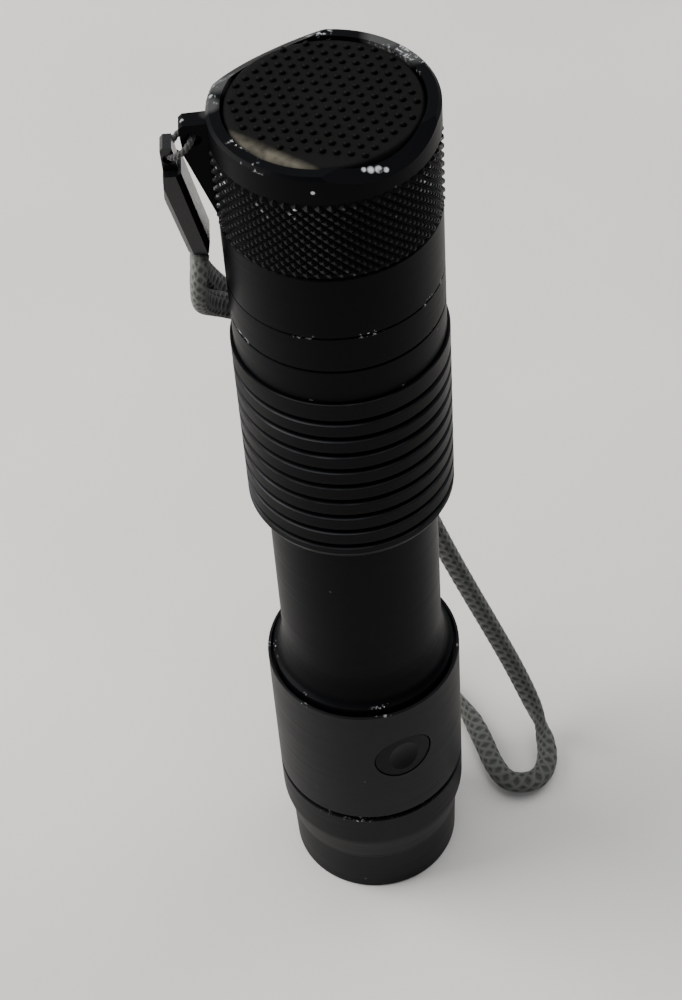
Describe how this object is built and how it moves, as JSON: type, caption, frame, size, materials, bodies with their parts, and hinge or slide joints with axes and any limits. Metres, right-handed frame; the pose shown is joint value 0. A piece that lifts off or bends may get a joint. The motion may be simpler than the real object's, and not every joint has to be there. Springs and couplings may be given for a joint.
{
  "type": "flashlight",
  "caption": "Black anodised handheld flashlight standing on its lens: ribbed grip, knurled tail cap with a studded rubber switch, side button, clip and braided wrist cord.",
  "frame": {"origin": "on the light's own axis, in the plane of the front ring's resting face", "axes": "+Z along the axis from the lens to the tail switch; -X towards the lanyard ear; the side button is 70 degrees from +X towards -Y"},
  "size_m": [0.0629, 0.0554, 0.1872],
  "materials": {
    "anodised_alloy": "hard anodised, satin, worn at the edges",
    "grip_rubber": "matte ribbed rubber",
    "pad_rubber": "studded rubber, dusty",
    "seal_rubber": "smooth black rubber",
    "front_glass": "coated clear glass",
    "mirror_metal": "polished reflector",
    "board_green": "solder-masked board",
    "alloy_board": "white-faced metal board",
    "emitter_yellow": "light chip coating",
    "dome_clear": "clear silicone dome",
    "bare_alloy": "bare machined alloy",
    "spring_steel": "plated spring wire",
    "black_plastic": "moulded black plastic",
    "clip_plastic": "glossy black moulded plastic",
    "cell_jacket": "printed-free cell jacket",
    "string_nylon": "thin twisted nylon",
    "cord_braid": "flat braided nylon, grey"
  },
  "bodies": {
    "body": {"bezel": "anodised_alloy", "bezel_o_ring": "seal_rubber", "lens_gasket": "seal_rubber", "lens": "front_glass", "reflector": "mirror_metal", "led_board": "alloy_board", "led_emitter": "emitter_yellow", "led_dome": "dome_clear", "heat_sink": "bare_alloy", "side_switch_board": "board_green", "side_tact_switch": "black_plastic", "switch_bracket": "bare_alloy", "driver_board": "board_green", "driver_choke": "black_plastic", "driver_chip": "black_plastic", "driver_spring": "spring_steel", "head_shell": "anodised_alloy", "battery_tube": "anodised_alloy", "grip_sleeve": "grip_rubber", "head_rear_o_ring": "seal_rubber", "tailcap_o_ring": "seal_rubber", "cell_front": "cell_jacket", "cell_rear": "cell_jacket"},
    "tailcap": {"tailcap_shell": "anodised_alloy", "pad_skirt": "seal_rubber", "pad_washer": "bare_alloy", "tail_switch_housing": "black_plastic", "tail_switch_spring": "spring_steel", "tail_contact_board": "board_green", "switch_retaining_ring": "bare_alloy", "battery_spring": "spring_steel", "lanyard_string": "string_nylon", "lanyard_clip_lower": "clip_plastic", "lanyard_clip_upper": "clip_plastic", "wrist_cord": "cord_braid"},
    "tail_button": {"tail_pad": "pad_rubber", "tail_switch_plunger": "black_plastic"},
    "side_key": {"side_button": "black_plastic"}
  },
  "joints": [
    {"name": "tailcap_off", "type": "slide", "parent": "body", "child": "tailcap", "axis": [0, 0, 1], "range_m": [0, 0.02]},
    {"name": "tail_switch_press", "type": "slide", "parent": "tailcap", "child": "tail_button", "axis": [0, 0, -1], "range_m": [0, 0.002], "stiffness_N_per_m": 900, "springref_m": -0.002, "deforming": ["tail_switch_spring"]},
    {"name": "side_button_press", "type": "slide", "parent": "body", "child": "side_key", "axis": [-0.342, 0.9397, 0], "range_m": [0, 0.0008], "stiffness_N_per_m": 1500, "springref_m": -0.0008}
  ]
}
